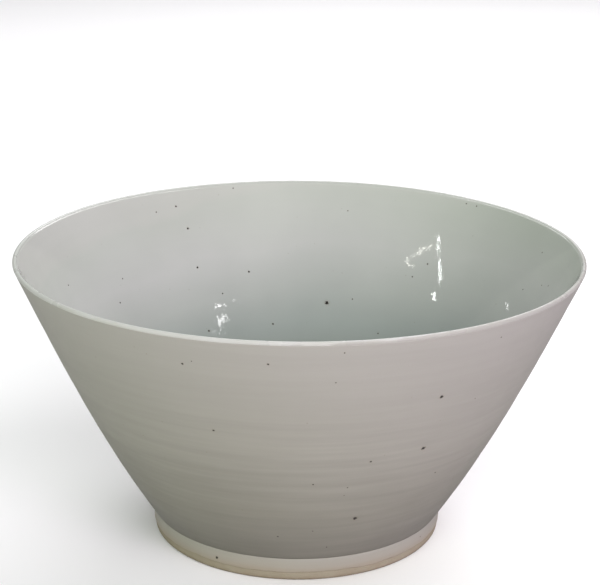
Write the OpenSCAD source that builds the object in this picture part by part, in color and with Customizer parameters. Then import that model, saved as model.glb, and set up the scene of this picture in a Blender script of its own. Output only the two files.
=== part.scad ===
// A wide cone-shaped ceramic bowl, thrown on a wheel and glazed, on a short turned foot ring.
// Millimetres, +Z up, the origin on the resting face at the middle of the foot ring.

/* [Bowl] */
// Diameter across the outside of the rim
rim_d = 400; // [340:5:440]
// Height from the resting face to the top of the lip
bowl_h = 206; // [180:2:230]
// Lean of the outside wall from vertical, just above the foot ring
lean_foot = 33.6; // [30:0.2:37]
// Lean of the outside wall from vertical, at the rim
lean_rim = 23.6; // [19:0.2:27]

/* [Wall and floor] */
// Thickness at the rounded lip, glaze included
lip_t = 3.2; // [2.4:0.2:4.8]
// Thickness of the wall at the crease above the foot ring
wall_t = 9; // [7:0.5:11]
// Thickness of the floor in the middle
floor_t = 10; // [8:0.5:13]
// Radius of the flat middle of the floor inside
floor_flat_r = 40; // [20:5:55]

/* [Foot ring] */
// Diameter of the crease where the wall meets the foot ring
crease_d = 210; // [196:2:220]
// Diameter across the outside of the resting edge
foot_d = 207; // [198:1:209]
// Height of the crease above the resting face
foot_h = 17; // [14:0.5:22]
// Width of the ring where it stands
foot_w = 9; // [7:0.5:12]
// Depth of the recess inside the ring
recess_depth = 13; // [9:0.5:14]
// Slope of the ring's inner side, from vertical
recess_lean = 12; // [5:1:20]
// Radius of the ring's two lower edges
foot_edge_r = 2.4; // [1.5:0.1:3]

/* [Glaze] */
// Thickness of every coat of glaze
glaze_t = 0.5; // [0.3:0.1:0.7]
// Height of the bare clay left at the bottom of the foot ring
bare_h = 7; // [4:0.5:9]

/* [Hidden] */
$fn = 180;

wall_steps = 24;      // straight runs along the wall, inside and outside
floor_steps = 12;     // straight runs along the curve from the floor to the wall
lip_steps = 10;       // straight runs around the lip
edge_steps = 4;       // straight runs around each lower edge of the foot ring
floor_share = 0.2;    // share of the wall, from the crease up, that the floor's curve takes inside
curve_pull = 0.6;     // how far the floor's curve holds to its two end directions

lip_r = lip_t / 2;
lip_centre = [rim_d / 2 - lip_r, bowl_h - lip_r];
crease = [crease_d / 2, foot_h];
floor_z = recess_depth + floor_t;

// Directions and curves in the profile plane: x is the radius, y the height.
function lean(angle) = [sin(angle), cos(angle)];
function unit(v) = v / norm(v);
function left_of(v) = [-v.y, v.x];
function bezier(a, b, c, d, u) =
    pow(1 - u, 3) * a + 3 * pow(1 - u, 2) * u * b + 3 * (1 - u) * u * u * c + pow(u, 3) * d;

// The outside of the wall, from the crease (u = 0) to the lip (u = 1).
wall_top = lip_centre + lip_r * [cos(lean_rim), -sin(lean_rim)];
wall_pull = norm(wall_top - crease) / 3;
function outer_wall(u) =
    bezier(crease, crease + wall_pull * lean(lean_foot), wall_top - wall_pull * lean(lean_rim), wall_top, u);
function wall_lean(u) = lean_foot + (lean_rim - lean_foot) * u;

// The inside of the wall follows the outside at a thickness that shrinks to the lip's.
function inner_wall(u) = outer_wall(u) + (wall_t + (lip_t - wall_t) * u) * left_of(lean(wall_lean(u)));

// The floor is flat in the middle, then curves up into the inside of the wall.
floor_start = [floor_flat_r, floor_z];
floor_end = inner_wall(floor_share);
floor_end_dir = unit(inner_wall(floor_share + 0.01) - floor_end);
floor_pull = curve_pull * norm(floor_end - floor_start);
function floor_curve(u) =
    bezier(floor_start, floor_start + [floor_pull * 0.9, 0], floor_end - floor_pull * 0.6 * floor_end_dir, floor_end, u);

// The glazed surface as one line: the floor, the inside wall, the lip, the outside wall, the glazed foot.
foot_side_dir = unit(crease - [foot_d / 2 + glaze_t, 0]);
glaze_end = crease - foot_side_dir * (foot_h - bare_h) / foot_side_dir.y;
floor_line = [[0, floor_z], for (i = [0 : floor_steps]) floor_curve(i / floor_steps)];
inner_line = [for (i = [1 : wall_steps]) inner_wall(floor_share + (1 - floor_share) * i / wall_steps)];
lip_line = [for (i = [1 : lip_steps]) let (a = 180 - lean_rim - 180 * i / lip_steps)
    lip_centre + lip_r * [cos(a), sin(a)]];
outer_line = [for (i = [1 : wall_steps]) outer_wall(1 - i / wall_steps)];
glaze_line = concat(floor_line, inner_line, lip_line, outer_line, [glaze_end]);

lip_first = len(floor_line) + len(inner_line) - 1;
lip_last = lip_first + lip_steps;
crease_at = lip_last + wall_steps;
foot_last = crease_at + 1;

// The clay under the glaze: the same line, moved into the clay by the thickness of the glaze.
function along(line, i) = unit(line[min(i + 1, len(line) - 1)] - line[max(i - 1, 0)]);
clay_line = [for (i = [0 : len(glaze_line) - 1]) glaze_line[i] - glaze_t * left_of(along(glaze_line, i))];

function reversed(line) = [for (i = [len(line) - 1 : -1 : 0]) line[i]];
function part_of(line, first, last) = [for (i = [first : last]) line[i]];

// The foot ring's own corners.
ring_outer = clay_line[foot_last];
ring_inner_x = foot_d / 2 - foot_w;
recess_corner = [ring_inner_x - recess_depth * tan(recess_lean), recess_depth];
function edge_arc(centre, from, to) = [for (i = [0 : edge_steps])
    let (a = from + (to - from) * i / edge_steps) centre + foot_edge_r * [cos(a), sin(a)]];

module coat(first, last) {
    rotate_extrude()
        polygon(concat(part_of(glaze_line, first, last), reversed(part_of(clay_line, first, last))));
}

module thrown_bowl() {
    color("#d9d2c4")
        rotate_extrude()
            polygon(concat(part_of(clay_line, 0, crease_at), [recess_corner, [0, recess_depth]]));
}

module foot_ring() {
    color("#cfc0a8")
        rotate_extrude()
            polygon(concat(
                [recess_corner, clay_line[crease_at], ring_outer],
                edge_arc([foot_d / 2 - foot_edge_r, foot_edge_r], 0, -90),
                edge_arc([ring_inner_x + foot_edge_r, foot_edge_r], -90, -180 + recess_lean)));
}

module inner_glaze() {
    color("#a9b8ae") coat(0, lip_first);
}

module lip_glaze() {
    color("#dfe1d8") coat(lip_first, lip_last);
}

module outer_glaze() {
    color("#b5b5a8") coat(lip_last, crease_at);
}

module foot_glaze() {
    color("#c3c3b6") coat(crease_at, foot_last);
}

// The underside inside the ring carries a flat coat, as wide as the ring's sloping side allows.
module recess_glaze() {
    coat_z = recess_depth - glaze_t;
    color("#b9c0b4")
        rotate_extrude()
            polygon([[0, coat_z], recess_corner + [glaze_t * tan(recess_lean), -glaze_t],
                     recess_corner, [0, recess_depth]]);
}

thrown_bowl();
foot_ring();
inner_glaze();
lip_glaze();
outer_glaze();
foot_glaze();
recess_glaze();
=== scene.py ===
"""Looks for a hand-thrown ceramic bowl: a wide cone-shaped wall on a short foot ring, glossy celadon
glaze inside, satin grey-white glaze outside, and bare clay at the resting edge. Metres, the CAD frame."""
import math

import bpy
import numpy as np
from mathutils import Euler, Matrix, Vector


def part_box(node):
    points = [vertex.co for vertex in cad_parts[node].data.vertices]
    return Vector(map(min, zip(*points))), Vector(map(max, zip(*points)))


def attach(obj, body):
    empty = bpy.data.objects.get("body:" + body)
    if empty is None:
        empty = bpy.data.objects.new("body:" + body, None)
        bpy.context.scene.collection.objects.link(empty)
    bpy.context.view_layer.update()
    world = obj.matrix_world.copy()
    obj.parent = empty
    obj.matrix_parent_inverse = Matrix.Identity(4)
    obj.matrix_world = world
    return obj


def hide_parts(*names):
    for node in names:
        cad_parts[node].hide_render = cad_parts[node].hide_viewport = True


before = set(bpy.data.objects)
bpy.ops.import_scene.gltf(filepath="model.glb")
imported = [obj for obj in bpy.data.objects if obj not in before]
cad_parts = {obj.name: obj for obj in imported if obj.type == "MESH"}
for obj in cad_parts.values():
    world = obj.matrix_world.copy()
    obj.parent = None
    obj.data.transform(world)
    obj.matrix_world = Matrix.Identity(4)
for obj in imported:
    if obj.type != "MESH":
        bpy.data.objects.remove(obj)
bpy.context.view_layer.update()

MM = 0.001
TURN = 2 * math.pi

# ---------------------------------------------------------------- the bowl's section, from the frame


def widest(node):
    """The largest radius that a CAD node reaches, from the bowl's axis."""
    points = np.array([v.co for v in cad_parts[node].data.vertices])
    return float(np.hypot(points[:, 0], points[:, 1]).max())


LEAN_FOOT = math.radians(33.6)      # the wall's lean from vertical at the crease above the foot ring
LEAN_RIM = math.radians(23.6)       # and at the rim
WALL_T = 9 * MM                     # thickness of the wall at the crease
LIP_T = 3.2 * MM                    # and at the lip, glaze included
GLAZE_T = 0.5 * MM                  # thickness of every coat of glaze
FLOOR_FLAT_R = 40 * MM              # radius of the flat middle of the floor
FLOOR_SHARE = 0.2                   # share of the wall that the floor's curve takes inside
FOOT_R = 103.5 * MM                 # the foot ring's radius at its resting edge
FOOT_W = 9 * MM                     # its width there
FOOT_EDGE_R = 2.4 * MM              # radius of its two lower edges

RIM_R = widest("lip_glaze")
LIP_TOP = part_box("lip_glaze")[1].z
LIP_R = LIP_T / 2
CREASE_R = widest("foot_glaze")
CREASE_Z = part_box("outer_glaze")[0].z
BARE_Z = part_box("foot_glaze")[0].z
FLOOR_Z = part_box("inner_glaze")[0].z + GLAZE_T
RECESS_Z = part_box("recess_glaze")[1].z
RECESS_R = widest("recess_glaze")


def lean(angle):
    """The direction of a wall that leans outwards from vertical by an angle."""
    return np.array([math.sin(angle), math.cos(angle)])


def left_of(v):
    """A vector turned a quarter to the left."""
    return np.array([-v[1], v[0]])


def bezier(a, b, c, d, u):
    """The point at u of the curve from a to d that is pulled towards b and c."""
    return (1 - u) ** 3 * a + 3 * (1 - u) ** 2 * u * b + 3 * (1 - u) * u * u * c + u**3 * d


crease = np.array([CREASE_R, CREASE_Z])
lip_centre = np.array([RIM_R - LIP_R, LIP_TOP - LIP_R])
wall_top = lip_centre - LIP_R * left_of(lean(LEAN_RIM))
wall_pull = np.linalg.norm(wall_top - crease) / 3


def outer_wall(u):
    """The outside of the wall, from the crease (u = 0) to the lip (u = 1)."""
    below = crease + wall_pull * lean(LEAN_FOOT)
    above = wall_top - wall_pull * lean(LEAN_RIM)
    return bezier(crease, below, above, wall_top, u)


def inner_wall(u):
    """The inside of the wall, thinner towards the lip."""
    thickness = WALL_T + (LIP_T - WALL_T) * u
    return outer_wall(u) + thickness * left_of(lean(LEAN_FOOT + (LEAN_RIM - LEAN_FOOT) * u))


def floor_curve(u):
    """From the flat of the floor up into the inside of the wall."""
    start = np.array([FLOOR_FLAT_R, FLOOR_Z])
    end = inner_wall(FLOOR_SHARE)
    up = inner_wall(FLOOR_SHARE + 0.01) - end
    pull = 0.6 * np.linalg.norm(end - start)
    return bezier(start, start + [pull * 0.9, 0], end - 0.6 * pull * up / np.linalg.norm(up), end, u)


def arc(centre, radius, first, last, count):
    """Points on an arc in the section plane, angles in degrees."""
    angles = np.radians(np.linspace(first, last, count))
    return np.array(centre) + radius * np.stack([np.cos(angles), np.sin(angles)], axis=1)


def spaced(points, step):
    """The same line with points about step apart."""
    points = np.array(points)
    along = np.concatenate([[0], np.cumsum(np.linalg.norm(np.diff(points, axis=0), axis=1))])
    where = np.linspace(0, along[-1], max(2, round(along[-1] / step) + 1))
    return np.stack([np.interp(where, along, points[:, k]) for k in (0, 1)], axis=1)


def into(line, depth):
    """The line moved into the clay, to the right of its direction, by depth."""
    ahead = np.gradient(line, axis=0)
    ahead /= np.linalg.norm(ahead, axis=1)[:, None]
    return line - depth * np.stack([-ahead[:, 1], ahead[:, 0]], axis=1)


SMOOTH = np.linspace(0, 1, 241)     # steps along each curve of the section
foot_side = crease - np.array([FOOT_R + GLAZE_T, 0])
glaze_end = crease - foot_side * (CREASE_Z - BARE_Z) / foot_side[1]
inner_line = np.array([[0, FLOOR_Z]] + [floor_curve(u) for u in SMOOTH]
                      + [inner_wall(FLOOR_SHARE + (1 - FLOOR_SHARE) * u) for u in SMOOTH[1:]])
lip_line = arc(lip_centre, LIP_R, 180 - math.degrees(LEAN_RIM), -math.degrees(LEAN_RIM), 61)
outer_line = np.array([outer_wall(1 - u) for u in SMOOTH])
foot_line = np.array([crease, glaze_end])

# ---------------------------------------------------------------- camera

FIRST_SIGHT = 0.05                  # metres from the camera to the nearest thing it draws
LAST_SIGHT = 50                     # and to the farthest
CAMERA_DISTANCE = 6.60 * RIM_R      # from the middle of the foot
CAMERA_RISE = math.radians(24.9)    # the camera's height above the table, as an angle
CAMERA_PITCH = math.radians(17.68)  # how far the camera looks down
CAMERA_ROLL = math.radians(0.43)    # how far it is tipped sideways
CAMERA_YAW = math.radians(0.068)    # how far it is turned aside
CAMERA_LENS = 106.1                 # focal length in mm


def make_camera():
    """The camera, in front of the bowl and above its rim."""
    data = bpy.data.cameras.new("camera")
    data.lens = CAMERA_LENS
    data.clip_start = FIRST_SIGHT
    data.clip_end = LAST_SIGHT
    camera = bpy.data.objects.new("camera", data)
    back, up = math.cos(CAMERA_RISE), math.sin(CAMERA_RISE)
    camera.location = (0, -CAMERA_DISTANCE * back, CAMERA_DISTANCE * up)
    aim = Euler((math.pi / 2 - CAMERA_PITCH, 0, -CAMERA_YAW)).to_matrix()
    camera.rotation_euler = (aim @ Euler((0, 0, CAMERA_ROLL)).to_matrix()).to_euler()
    bpy.context.scene.collection.objects.link(camera)
    bpy.context.scene.camera = camera


make_camera()

# ---------------------------------------------------------------- how the pot was thrown

RIM_SHIFT = 0.9 * MM                # the rim sits this far to one side of the foot
GROOVES = [                         # height, depth and width of the throwing grooves outside
    (38, 0.10, 5), (72, 0.20, 6), (84, 0.06, 3), (97, 0.08, 4), (119, 0.20, 7),
    (131, 0.06, 3), (147, 0.08, 4), (161, 0.12, 5), (184, 0.12, 6),
]


def rise_of(height):
    """0 at the crease and below, 1 at the top of the lip."""
    return np.clip((height - CREASE_Z) / (LIP_TOP - CREASE_Z), 0, 1)


def settle(angle, radius, height):
    """The warp of the whole pot, from the wheel and the kiln: a little oval, its rim a little uneven."""
    rise = rise_of(height)
    oval = 0.35 * MM * np.cos(2 * angle + 0.7) + 0.2 * MM * np.cos(3 * angle + 2.1)
    lift = 0.3 * MM * np.cos(2 * angle + 3.0) + 0.1 * MM * np.cos(5 * angle)
    radius = radius + rise**2 * oval
    return (radius * np.cos(angle) + RIM_SHIFT * rise, radius * np.sin(angle), height + rise**4 * lift)


def wander(angle, seed):
    """A slow, smooth wave round the pot, between about -1 and 1."""
    waves = ((1, 0.5), (2, 0.3), (3, 0.2), (5, 0.12), (8, 0.08))
    return sum(size * np.cos(n * angle + seed * (n + 1.7)) for n, size in waves)


def grooves_outside(angle, height, radius):
    """Throwing grooves as dents in the outside of the wall."""
    relief = np.zeros_like(height)
    for i, (at, depth, width) in enumerate(GROOVES):
        middle = at * MM + 1.6 * MM * wander(angle, i)
        strength = 0.7 + 0.4 * wander(angle, i + 20)
        relief -= depth * MM * strength * np.exp(-((height - middle) / (width * MM)) ** 2)
    return relief


def swells_inside(angle, height, radius):
    """Broad, soft swells that the fingers left inside, as one rising spiral."""
    pitch = 26 * MM
    fade = np.clip((height - FLOOR_Z) / (12 * MM), 0, 1)
    spiral = np.cos(TURN * height / pitch + angle + 0.6 * wander(angle, 4))
    fine = np.cos(TURN * height / (7.3 * MM) + 2 * angle + wander(angle, 7))
    return fade * MM * (0.012 * spiral + 0.002 * fine)


def tool_lines(angle, height, radius):
    """Fine level lines in the bare clay, left by the turning tool."""
    return 0.06 * MM * np.cos(TURN * height / (1.7 * MM) + wander(angle, 3))


def turning_spiral(angle, height, radius):
    """The shallow spiral that the turning tool left under the floor."""
    fade = np.clip(radius / (6 * MM), 0, 1)
    return fade * 0.12 * MM * np.cos(TURN * radius / (7 * MM) + angle)


def ragged_edge(angle):
    """The uneven line where the glaze on the foot ring stops."""
    waves = ((7, 0.4), (13, 0.3), (23, 0.25), (41, 0.2), (67, 0.15))
    return 0.5 * MM * sum(part * np.cos(n * angle + 2.3 * n) for n, part in waves)


# ---------------------------------------------------------------- turned pieces

COLUMNS = 400                       # points round most pieces
COLUMNS_OUTSIDE = 440               # round the outside, for its grooves
COLUMNS_RAGGED = 480                # round the glaze on the foot ring, for its ragged edge
COLUMNS_HIDDEN = 240                # round what hardly shows


def revolve(name, outline, columns, relief=None, edge=None):
    """A closed turned solid from a closed outline of (radius, height) points.

    relief(angles, height, radius) moves a point out along the outline's normal, and edge(angles) moves it
    up. Both are given as (function, weights), with one weight for each point of the outline."""
    ahead = np.roll(outline, -1, axis=0) - np.roll(outline, 1, axis=0)
    ahead /= np.linalg.norm(ahead, axis=1)[:, None]
    angles = np.linspace(0, TURN, columns, endpoint=False)
    verts, rings = [], []
    for i, (r, z) in enumerate(outline):
        if r < 1e-6:                    # a point on the axis
            rings.append([len(verts)] * columns)
            verts.append((0.0, 0.0, z))
            continue
        radius, height = np.full(columns, r), np.full(columns, z)
        if relief is not None and relief[1][i] > 0:
            out = relief[1][i] * relief[0](angles, height, radius)
            radius = radius - ahead[i, 1] * out
            height = height + ahead[i, 0] * out
        if edge is not None and edge[1][i] > 0:
            height = height + edge[1][i] * edge[0](angles)
        rings.append(list(range(len(verts), len(verts) + columns)))
        verts += list(zip(*settle(angles, radius, height)))
    faces = []
    for here, above in zip(rings, rings[1:] + rings[:1]):
        for k in range(columns):
            m = (k + 1) % columns
            corners = list(dict.fromkeys([here[k], here[m], above[m], above[k]]))
            if len(corners) > 2:
                faces.append(corners)
    mesh = bpy.data.meshes.new(name)
    mesh.from_pydata(verts, [], faces)
    mesh.polygons.foreach_set("use_smooth", [True] * len(mesh.polygons))
    mesh.update()
    piece = bpy.data.objects.new(name, mesh)
    bpy.context.scene.collection.objects.link(piece)
    return piece


def coat(name, line, step, columns, marks=None):
    """A coat of glaze: its surface in fine steps, its back against the clay in coarse ones."""
    front = spaced(line, step)
    back = into(spaced(line, step * 8), GLAZE_T)[::-1]
    weights = np.concatenate([np.ones(len(front)), np.zeros(len(back))])
    relief = None if marks is None else (marks, weights)
    return revolve(name, np.concatenate([front, back]), columns, relief)


def make_inner_coat():
    """The celadon, from the middle of the floor to the lip."""
    return coat("inner_glaze_coat", inner_line, 1.5 * MM, COLUMNS, swells_inside)


def make_lip_coat():
    """The pale glaze over the rounded lip."""
    return coat("lip_glaze_coat", lip_line, 0.3 * MM, COLUMNS)


def make_outer_coat():
    """The satin glaze, from the lip down to the crease above the foot ring."""
    return coat("outer_glaze_coat", outer_line, 1.25 * MM, COLUMNS_OUTSIDE, grooves_outside)


def make_foot_coat():
    """The band of glaze on the foot ring, with a rounded, uneven lower edge."""
    face = spaced(foot_line, 0.5 * MM)
    turn = arc(glaze_end - [GLAZE_T / 2, 0], GLAZE_T / 2, 0, -90, 5)[1:]
    back = into(foot_line, GLAZE_T)[::-1]
    outline = np.concatenate([face, turn, back])
    share = np.clip((CREASE_Z - 3 * MM - outline[:, 1]) / (CREASE_Z - BARE_Z - 3 * MM), 0, 1)
    return revolve("foot_glaze_coat", outline, COLUMNS_RAGGED, edge=(ragged_edge, share))


def make_foot_ring():
    """The turned clay ring, bare below the band of glaze, with the lines of the turning tool."""
    clay_side = spaced(np.concatenate([into(foot_line, GLAZE_T), [[FOOT_R, FOOT_EDGE_R]]]), 0.5 * MM)
    inner_low = FOOT_R - FOOT_W
    outline = np.concatenate([
        [[RECESS_R - 0.05 * MM, RECESS_Z]], clay_side,
        arc([FOOT_R - FOOT_EDGE_R, FOOT_EDGE_R], FOOT_EDGE_R, 0, -90, 9)[1:],
        arc([inner_low + FOOT_EDGE_R, FOOT_EDGE_R], FOOT_EDGE_R, -90, -168, 9),
    ])
    bare = (outline[:, 1] < BARE_Z) & (outline[:, 1] > 0.2 * MM)
    return revolve("foot_ring_clay", outline, COLUMNS, (tool_lines, bare.astype(float)))


def make_clay_body():
    """The clay wall and floor under the glaze."""
    glazed = np.concatenate([inner_line, lip_line[1:], outer_line[1:]])
    clay = into(spaced(glazed, 3 * MM), GLAZE_T)
    clay[0, 0] = 0
    under = np.array([[RECESS_R, RECESS_Z], [0, RECESS_Z]])
    return revolve("thrown_clay", np.concatenate([clay, under]), COLUMNS_HIDDEN)


def make_recess_coat():
    """The thin coat under the floor, over the spiral that the turning tool left."""
    low = RECESS_Z - GLAZE_T
    face = spaced([[RECESS_R, low], [0, low]], 1 * MM)
    back = np.array([[0, RECESS_Z], [RECESS_R - 0.1 * MM, RECESS_Z]])
    under = np.concatenate([np.ones(len(face)), [0, 0]])
    outline = np.concatenate([face, back])
    return revolve("recess_glaze_coat", outline, COLUMNS_HIDDEN, (turning_spiral, under))


# ---------------------------------------------------------------- iron specks

# Turn in degrees, height and radius in mm. Inside, the turn runs from the back (+Y) towards +X.
SPECKS_INSIDE = [
    (8.5, 117, 1.38), (-28.5, 147, 0.67), (-14, 140, 0.67), (-31, 193, 0.67), (-29, 176, 0.76),
    (-16, 202, 0.45), (-8, 101.5, 0.67), (-29, 101, 0.67), (-74, 163, 0.52), (-52.5, 151, 0.52),
    (-56.5, 136, 0.52), (-36.5, 191, 0.45), (12, 185, 0.45), (32.5, 143, 0.52), (36, 154, 0.52),
    (42, 202, 0.45), (45, 202, 0.45), (71.5, 160, 0.45), (82.5, 173, 0.45), (79, 170, 0.45),
    (72, 188, 0.45), (26, 99, 0.52), (16, 121, 0.45), (-22.5, 126, 0.45), (140, 120, 0.67),
    (-130, 90, 0.52), (165, 160, 0.52), (-160, 60, 0.67), (110, 75, 0.52),
]
# Outside, the turn runs from the front (-Y) towards +X.
SPECKS_OUTSIDE = [
    (17.5, 56, 1.26), (31, 112, 1.26), (30.5, 154.5, 1.15), (4, 91, 0.52), (17.5, 108, 0.67),
    (-6, 40.5, 0.52), (10.5, 29, 0.52), (-5.5, 189.5, 0.67), (-22, 184, 0.67), (-20, 187, 0.38),
    (8, 198, 0.45), (40.5, 193, 0.45), (7, 175.5, 0.45), (41, 145, 0.45), (39.5, 84.5, 0.52),
    (13, 86.5, 0.38), (12.5, 79.5, 0.38), (5, 46.5, 0.38), (-18.5, 133, 0.67), (95, 120, 0.76),
    (130, 70, 0.67), (175, 150, 0.76), (-150, 100, 0.67), (-100, 160, 0.67), (-75, 60, 0.52),
    (60, 40, 0.67), (-125, 45, 0.52), (150, 185, 0.52),
]
# On the foot ring, the turn as outside.
SPECKS_FOOT = [(-31.5, 10, 0.9), (57, 11.5, 0.38), (100, 9, 0.45), (-140, 12, 0.52), (170, 8, 0.45)]

FINE_SPECK_GRID = 140               # cells of fine specks per metre
FINE_SPECK = 0.11                   # radius of the largest fine speck, as a share of its cell
SPECK_CORE = (0.012, 0.008, 0.006)
SPECK_BROWN = (0.16, 0.12, 0.08)
SPECK_HALO = (0.20, 0.15, 0.09)


def on_line(line, height):
    """How far from the axis a line of the section is at a height."""
    rising = line[np.argsort(line[:, 1])]
    return float(np.interp(height, rising[:, 1], rising[:, 0]))


def speck_places(specks, line, back):
    """Where specks are, as (point, radius), from their turns, heights and radii."""
    places = []
    for turn, height, radius in specks:
        angle = math.radians(90 - turn if back else turn - 90)
        place = settle(angle, on_line(line, height * MM), height * MM)
        places.append((Vector(place), radius * MM))
    return places


# ---------------------------------------------------------------- materials

NOISE_RANGE = (0.3, 0.7)            # raw noise lies mostly between these


class Nodes:
    """A short way to write a material's nodes: each method gives an output that the next one can take."""

    def __init__(self, name):
        self.material = bpy.data.materials.new(name)
        self.material.use_nodes = True
        self.tree = self.material.node_tree
        self.shader = self.tree.nodes["Principled BSDF"]
        self.where = self.make("ShaderNodeTexCoord").outputs["Object"]

    def make(self, kind, inputs=(), **settings):
        """A node with its settings and inputs. An input is an output to link, or a value."""
        node = self.tree.nodes.new(kind)
        for key, value in settings.items():
            setattr(node, key, value)
        for key, value in dict(inputs).items():
            self.put(node.inputs[key], value)
        return node

    def put(self, socket, value):
        """Links an output to the socket, or sets its value."""
        if isinstance(value, bpy.types.NodeSocket):
            self.tree.links.new(value, socket)
        elif socket.type == "RGBA" and len(value) == 3:
            socket.default_value = (*value, 1)
        else:
            socket.default_value = value

    def math(self, operation, a, b):
        """The result of one operation on two numbers."""
        return self.make("ShaderNodeMath", {0: a, 1: b}, operation=operation).outputs[0]

    def stretched(self, x, y, z):
        """Object coordinates scaled along each axis, for streaks."""
        return self.make("ShaderNodeMapping", {"Vector": self.where, "Scale": (x, y, z)}).outputs[0]

    def noise(self, scale, detail=2.0, rough=0.5, where=None):
        """Raw noise, with scale patches to a metre."""
        inputs = {"Vector": where or self.where, "Scale": scale, "Detail": detail, "Roughness": rough}
        return self.make("ShaderNodeTexNoise", inputs).outputs[0]

    def between(self, value, low, high, to_low=0.0, to_high=1.0):
        """Smoothly maps low..high to to_low..to_high, and stays there outside."""
        inputs = {"Value": value, "From Min": low, "From Max": high, "To Min": to_low, "To Max": to_high}
        return self.make("ShaderNodeMapRange", inputs, interpolation_type="SMOOTHSTEP").outputs[0]

    def patches(self, low, high, scale, detail=2.0, where=None):
        """Soft random patches with values from low to high, with scale patches to a metre."""
        return self.between(self.noise(scale, detail, where=where), *NOISE_RANGE, low, high)

    def mix(self, amount, a, b, blend="MIX"):
        """Colour a turned into colour b by an amount."""
        node = self.make("ShaderNodeMix", {0: amount}, data_type="RGBA", blend_type=blend)
        self.put(node.inputs[6], a)
        self.put(node.inputs[7], b)
        return node.outputs[2]

    def shaded(self, color, shade):
        """A colour made lighter or darker by a factor."""
        grey = self.make("ShaderNodeCombineColor", {0: shade, 1: shade, 2: shade}).outputs[0]
        return self.mix(1.0, color, grey, "MULTIPLY")

    def ramp(self, value, stops):
        """A colour from a value, through (position, colour) stops."""
        node = self.make("ShaderNodeValToRGB", {0: value})
        while len(node.color_ramp.elements) < len(stops):
            node.color_ramp.elements.new(0.5)
        for element, (position, color) in zip(node.color_ramp.elements, stops):
            element.position = position
            element.color = (*color, 1)
        return node.outputs[0]

    def height(self):
        """0 at the table and 1 at the top of the lip."""
        z = self.make("ShaderNodeSeparateXYZ", {0: self.where}).outputs["Z"]
        return self.math("DIVIDE", z, LIP_TOP)

    def bump(self, height, distance, under=None):
        """A bumped normal, distance metres high, laid over the normal under it."""
        node = self.make("ShaderNodeBump", {"Height": height, "Distance": distance, "Strength": 1.0})
        if under is not None:
            self.put(node.inputs["Normal"], under)
        return node.outputs[0]

    def specks(self, color, places, fine):
        """Iron specks over a colour: each place has a dark core and a soft brown halo. Small specks are
        scattered between them, and fine gives their strength."""
        nearest = 10.0                  # in radii of a speck, beyond every halo
        for place, radius in places:
            apart = self.make("ShaderNodeVectorMath", {0: self.where, 1: place}, operation="DISTANCE")
            apart = self.math("DIVIDE", apart.outputs["Value"], radius)
            nearest = self.math("MINIMUM", apart, nearest)
        wobble = self.patches(-0.25, 0.25, 900)
        nearest = self.math("ADD", nearest, wobble)
        grid = self.make("ShaderNodeTexVoronoi", {"Vector": self.where, "Scale": FINE_SPECK_GRID})
        pick = self.make("ShaderNodeSeparateColor", {0: grid.outputs["Color"]}).outputs[0]
        size = self.between(pick, 0.45, 1.0, 0.0, FINE_SPECK)
        dot = self.math("SUBTRACT", size, grid.outputs["Distance"])
        dot = self.math("MULTIPLY", self.between(dot, 0.0, 0.05), fine)
        color = self.mix(dot, color, SPECK_BROWN)
        color = self.mix(self.between(nearest, 2.4, 0.8, 0.0, 0.22), color, SPECK_HALO)
        return self.mix(self.between(nearest, 1.25, 0.75), color, SPECK_CORE)

    def finish(self, color, rough, normal=None, specular=0.5):
        """Puts the colour, roughness and normal on the shader, and gives the material."""
        self.put(self.shader.inputs["Base Color"], color)
        self.put(self.shader.inputs["Roughness"], rough)
        if normal is not None:
            self.put(self.shader.inputs["Normal"], normal)
        self.shader.inputs["Specular IOR Level"].default_value = specular
        return self.material


LIGHTER_TOWARDS_MINUS_X = 0.7                 # how far the colours sink towards -X, which makes the inside lighter there, in heights of the bowl per metre
# Colour stops by height: 0 at the table and 1 at the top of the lip.
# The inside's stops darken towards the floor: partly the glaze pooling deeper, partly painted shade.
INNER_COLORS = [(0.12, (0.187, 0.209, 0.196)), (0.4, (0.226, 0.245, 0.228)), (0.52, (0.292, 0.317, 0.300)),
                (0.65, (0.380, 0.395, 0.374)), (0.8, (0.443, 0.453, 0.431)), (0.97, (0.426, 0.450, 0.408)),
                (1, (0.438, 0.455, 0.415))]
# The outside's stops darken towards the foot: painted shade under the overhanging wall.
OUTER_COLORS = [(0.08, (0.168, 0.161, 0.135)), (0.3, (0.222, 0.215, 0.178)), (0.6, (0.278, 0.271, 0.234)),
                (0.98, (0.320, 0.312, 0.281))]
FOOT_COLORS = [(0.036, (0.302, 0.266, 0.206)), (0.052, (0.312, 0.293, 0.244)), (0.08, (0.316, 0.307, 0.266))]
RECESS_COLORS = [(0.0, (0.357, 0.348, 0.315)), (0.08, (0.374, 0.365, 0.332))]
LIP_PALE = (0.462, 0.464, 0.446)
LIP_CREAM = (0.436, 0.438, 0.408)
CLAY_PALE = (0.290, 0.262, 0.194)
CLAY_WARM = (0.271, 0.239, 0.175)
CLAY_EDGE_BROWN = (0.199, 0.157, 0.104)
CLAY_GRIT = (0.20, 0.16, 0.12)
# Roughness, from the smoothest patches to the roughest.
CELADON_ROUGH = (0.012, 0.03)
LIP_ROUGH = (0.26, 0.34)
SATIN_ROUGH = (0.42, 0.52)
CLAY_ROUGH = (0.75, 0.9)


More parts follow.
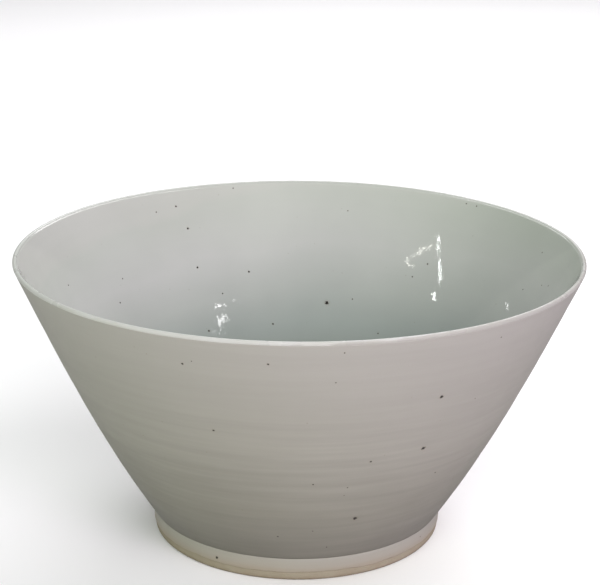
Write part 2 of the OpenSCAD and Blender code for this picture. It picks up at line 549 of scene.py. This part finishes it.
def celadon():
    """The inside: a clear glossy celadon, thin and creamy near the lip, pooled and blue-green below. Its
    colour darkens strongly towards the floor: partly the pooled glaze, partly painted shade.
    """
    m = Nodes("celadon_gloss")
    level = m.math("ADD", m.height(), m.patches(-0.03, 0.03, 9))
    aside = m.make("ShaderNodeSeparateXYZ", {0: m.where}).outputs["X"]
    # The colours sink towards -X, so the inside is lighter on that side.
    thin = m.math("MULTIPLY", m.math("MINIMUM", aside, 0.0), -LIGHTER_TOWARDS_MINUS_X)
    level = m.math("ADD", level, thin)
    color = m.ramp(level, INNER_COLORS)
    cloud = m.patches(0.975, 1.025, 16, 3)
    streak = m.patches(0.995, 1.005, 1, 2, m.stretched(10, 10, 150))
    color = m.shaded(color, m.math("MULTIPLY", cloud, streak))
    color = m.specks(color, speck_places(SPECKS_INSIDE, inner_line, True), 0.2)
    rough = m.patches(*CELADON_ROUGH, 40)
    ripple = m.bump(m.noise(450, 1), 0.018 * MM)
    ripple = m.bump(m.noise(90, 1), 0.035 * MM, ripple)
    return m.finish(color, rough, ripple)


def lip_white():
    """The lip: the glaze has run thin and pale over the edge."""
    m = Nodes("lip_gloss")
    patch = m.between(m.noise(30, 3), 0.35, 0.65)
    color = m.mix(patch, LIP_PALE, LIP_CREAM)
    flat = m.make("ShaderNodeVectorMath", {0: m.where, 1: (1, 1, 0)}, operation="MULTIPLY").outputs[0]
    across = m.make("ShaderNodeVectorMath", {0: flat}, operation="LENGTH").outputs["Value"]
    across = m.math("ADD", across, m.patches(-0.4 * MM, 0.4 * MM, 35))
    inside = m.between(across, RIM_R - 1.4 * MM, RIM_R - 2.6 * MM)
    color = m.mix(inside, color, INNER_COLORS[-2][1])
    outside = m.between(across, RIM_R - 0.6 * MM, RIM_R - 0.1 * MM, 0, 0.75)
    color = m.mix(outside, color, OUTER_COLORS[-1][1])
    color = m.specks(color, [], 0.15)
    rough = m.patches(*LIP_ROUGH, 60)
    return m.finish(color, rough, m.bump(m.noise(240, 1), 0.06 * MM), 0.4)


def satin(name, stops, places, lines, streaks, drift=0.03):
    """The outside glaze: a satin grey-white, streaked round the pot, most of all low on the wall. lines is
    the height of the fine throwing lines in mm, and drift is how far the colours wander up and down."""
    m = Nodes(name)
    level = m.math("ADD", m.height(), m.patches(-drift, drift, 8))
    # For the outer wall these stops darken the colour towards the foot, which is painted shade.
    color = m.ramp(level, stops)
    broad = m.patches(-streaks, streaks, 1, 3, m.stretched(8, 8, 150))
    fine = m.patches(-streaks / 2, streaks / 2, 1, 4, m.stretched(20, 20, 420))
    low = m.between(m.height(), 0.85, 0.45, 0.3, 1.0)
    shade = m.math("MULTIPLY", m.math("ADD", broad, fine), low)
    color = m.shaded(color, m.math("ADD", shade, 1.0))
    color = m.specks(color, places, 0.3)
    rough = m.patches(*SATIN_ROUGH, 25, 3)
    grain = m.bump(m.noise(700, 2), 0.03 * MM)
    rings = m.bump(m.noise(1, 2, where=m.stretched(10, 10, 260)), lines * MM, grain)
    return m.finish(color, rough, rings, 0.5)


def bare_clay():
    """Bare fired stoneware: warm beige and gritty, darker brown towards the resting edge."""
    m = Nodes("bare_clay")
    patch = m.between(m.noise(60, 4, 0.6), 0.35, 0.65)
    color = m.mix(patch, CLAY_PALE, CLAY_WARM)
    wander_z = m.math("ADD", m.height(), m.patches(-0.004, 0.004, 45))
    # The clay turns darker brown towards the resting edge.
    edge = m.between(wander_z, 1.6 * FOOT_EDGE_R / LIP_TOP, 0.3 * MM / LIP_TOP, 0.0, 0.6)
    color = m.mix(edge, color, CLAY_EDGE_BROWN)
    grit = m.between(m.noise(1400, 2), 0.55, 0.75)
    color = m.mix(m.math("MULTIPLY", grit, 0.35), color, CLAY_GRIT)
    color = m.specks(color, [], 0.6)
    tooth = m.bump(m.noise(900, 3, 0.6), 0.08 * MM)
    return m.finish(color, m.between(patch, 0, 1, *CLAY_ROUGH), tooth, 0.2)


clay = bare_clay()
PIECES = [
    (make_inner_coat, "inner_glaze", "inner_glaze", celadon()),
    (make_lip_coat, "lip_glaze", "lip_glaze", lip_white()),
    (make_outer_coat, "outer_glaze", "outer_glaze",
     satin("outer_satin", OUTER_COLORS, speck_places(SPECKS_OUTSIDE, outer_line, False), 0.1, 0.05)),
    (make_foot_coat, "foot_glaze", "foot_glaze",
     satin("foot_satin", FOOT_COLORS, speck_places(SPECKS_FOOT, foot_line, False), 0.05, 0.02, 0.004)),
    (make_foot_ring, "foot_ring", "clay", clay),
    (make_clay_body, "thrown_bowl", "clay", clay),
    (make_recess_coat, "recess_glaze", "recess_glaze", satin("recess_satin", RECESS_COLORS, [], 0.03, 0.02)),
]
for make, node, slot, material in PIECES:
    piece = make()
    piece.data.materials.append(material)
    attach(piece, "root")
    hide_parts(node)

# ---------------------------------------------------------------- stage and light

FLOOR_HALF = 6.0                    # half the width of the floor in metres
FLOOR_PALE = (0.90, 0.90, 0.90)
FLOOR_PALER = (0.92, 0.92, 0.92)
ROOM_LIGHT = 0.33                   # strength of the even light from all round


def make_floor():
    """A plain pale floor."""
    mesh = bpy.data.meshes.new("floor")
    corners = [(x * FLOOR_HALF, y * FLOOR_HALF, 0) for x, y in ((-1, -1), (1, -1), (1, 1), (-1, 1))]
    mesh.from_pydata(corners, [], [(0, 1, 2, 3)])
    floor = bpy.data.objects.new("floor", mesh)
    bpy.context.scene.collection.objects.link(floor)
    m = Nodes("paper_sweep")
    mesh.materials.append(m.finish(m.mix(m.noise(3), FLOOR_PALE, FLOOR_PALER), 0.9, specular=0.1))
    floor.visible_glossy = False        # the gloss shows only the mirrored lights and the dim room


def toward(turn, rise):
    """A direction: turn in degrees from the camera's side towards +X, and rise above the horizon."""
    a, e = math.radians(turn), math.radians(rise)
    return Vector((math.sin(a) * math.cos(e), -math.cos(a) * math.cos(e), math.sin(e)))


def light(name, target, away, distance, size, power, color, mirrored, roll=0):
    """An area light that points at the target, at a distance along the direction away from it. It isn't
    seen directly, and only a mirrored one shows in the gloss."""
    data = bpy.data.lights.new(name, "AREA")
    data.shape = "RECTANGLE"
    data.size, data.size_y = size
    data.energy = power
    data.color = color
    lamp = bpy.data.objects.new(name, data)
    lamp.location = Vector(target) + distance * away
    aim = away.to_track_quat("Z", "Y").to_matrix()
    lamp.rotation_euler = (aim @ Euler((0, 0, math.radians(roll))).to_matrix()).to_euler()
    lamp.visible_camera = False
    lamp.visible_glossy = mirrored
    bpy.context.scene.collection.objects.link(lamp)


SOFTBOX_DISTANCE = 3.0              # metres from the bowl to every softbox
BOWL_MIDDLE = (0, 0, 0.1)           # where the softboxes point
# Name, turn, rise, width and height in m, power in W, color, whether it shows in the gloss.
SOFTBOXES = [
    ("back_box", 166, 42, (2.4, 1.6), 51, (1, 0.98, 1), True),
    ("front_box", 13, 40, (2.6, 1.3), 61, (0.95, 1, 0.95), False),
    ("left_box", -85, 40, (1.3, 1.3), 12.5, (0.82, 0.85, 1), False),
    ("low_left_box", -40, 12, (1.2, 1.2), 14, (0.87, 0.98, 0.55), False),
    ("lip_box", 82, 56, (1.6, 0.5), 20, (1, 0.98, 1), True),
    ("low_box", 40, 14, (1.2, 1.2), 30, (0.96, 0.62, 1), False),
]


def make_softboxes():
    """The studio's large lights, all round the bowl."""
    for name, turn, rise, size, power, color, mirrored in SOFTBOXES:
        light(name, BOWL_MIDDLE, toward(turn, rise), SOFTBOX_DISTANCE, size, power, color, mirrored)


DAYLIGHT = (0.97, 1, 1)
WARM_LIGHT = (1, 0.97, 0.9)
LAMP_LIGHT = (1, 0.98, 1)
# Name, where it is mirrored on the inside wall (turn in degrees from +Y towards +X, height in mm), distance
# in m from there, width and height in mm, radiance, color, roll in degrees.
CATCH_LIGHTS = [
    ("window_top", 37.3, 169, 0.2, (17, 0.6), 60, DAYLIGHT, 87),
    ("window_middle", 40.2, 152, 0.2, (22, 0.6), 60, DAYLIGHT, 84),
    ("window_foot", 40.8, 133.5, 0.2, (6.5, 1), 60, DAYLIGHT, 80),
    ("window_edge", 32.4, 161, 0.2, (24, 0.7), 24, WARM_LIGHT, 153),
    ("window_hook", 30.9, 152, 0.2, (9, 0.6), 34, WARM_LIGHT, 30),
    ("lamp", -24.3, 106, 0.2, (9, 1.5), 27, LAMP_LIGHT, 0),
    ("lamp_tail", -25, 102, 0.2, (2.5, 0.7), 36, LAMP_LIGHT, 0),
    ("lamp_spike", -22.9, 108, 0.2, (7, 0.5), 36, LAMP_LIGHT, 20),
    ("lamp_edge", -24.7, 116, 0.2, (5, 1.3), 22, LAMP_LIGHT, 0),
    ("lamp_edge_spike", -23.2, 116, 0.2, (7, 0.4), 24, LAMP_LIGHT, 0),
    ("lamp_rim", -26, 98.5, 0.2, (18, 0.4), 14, LAMP_LIGHT, 0),
    ("lamp_corner", -18.5, 118.5, 0.2, (9, 0.3), 18, LAMP_LIGHT, 8),
    ("door_gap", 68.2, 145, 0.1, (1, 5), 8, (1, 1, 1), 0),
]


def mirrored_sight(turn, height):
    """A spot on the inside wall, and where the camera looks from there when it is mirrored."""
    angle = math.radians(90 - turn)
    out = Vector((math.cos(angle), math.sin(angle), 0))
    flare = (on_line(inner_line, height + MM) - on_line(inner_line, height - MM)) / (2 * MM)
    spot = on_line(inner_line, height) * out + Vector((0, 0, height))
    normal = (Vector((0, 0, flare)) - out).normalized()
    sight = spot - bpy.context.scene.camera.location
    return spot, sight.normalized().reflect(normal)


def make_catch_lights():
    """Small lights close to the bowl, which only show as highlights in the gloss of the inside."""
    for name, turn, height, distance, size, radiance, color, roll in CATCH_LIGHTS:
        spot, away = mirrored_sight(turn, height * MM)
        wide, high = size[0] * MM, size[1] * MM
        power = radiance * math.pi * wide * high
        light(name, spot, away, distance, (wide, high), power, color, True, roll)


make_floor()
make_softboxes()
make_catch_lights()

world = bpy.data.worlds.new("studio")
world.use_nodes = True
background = world.node_tree.nodes["Background"]
background.inputs["Color"].default_value = (1, 1, 1, 1)
background.inputs["Strength"].default_value = ROOM_LIGHT
bpy.context.scene.world = world
bpy.context.scene.view_settings.view_transform = "Standard"
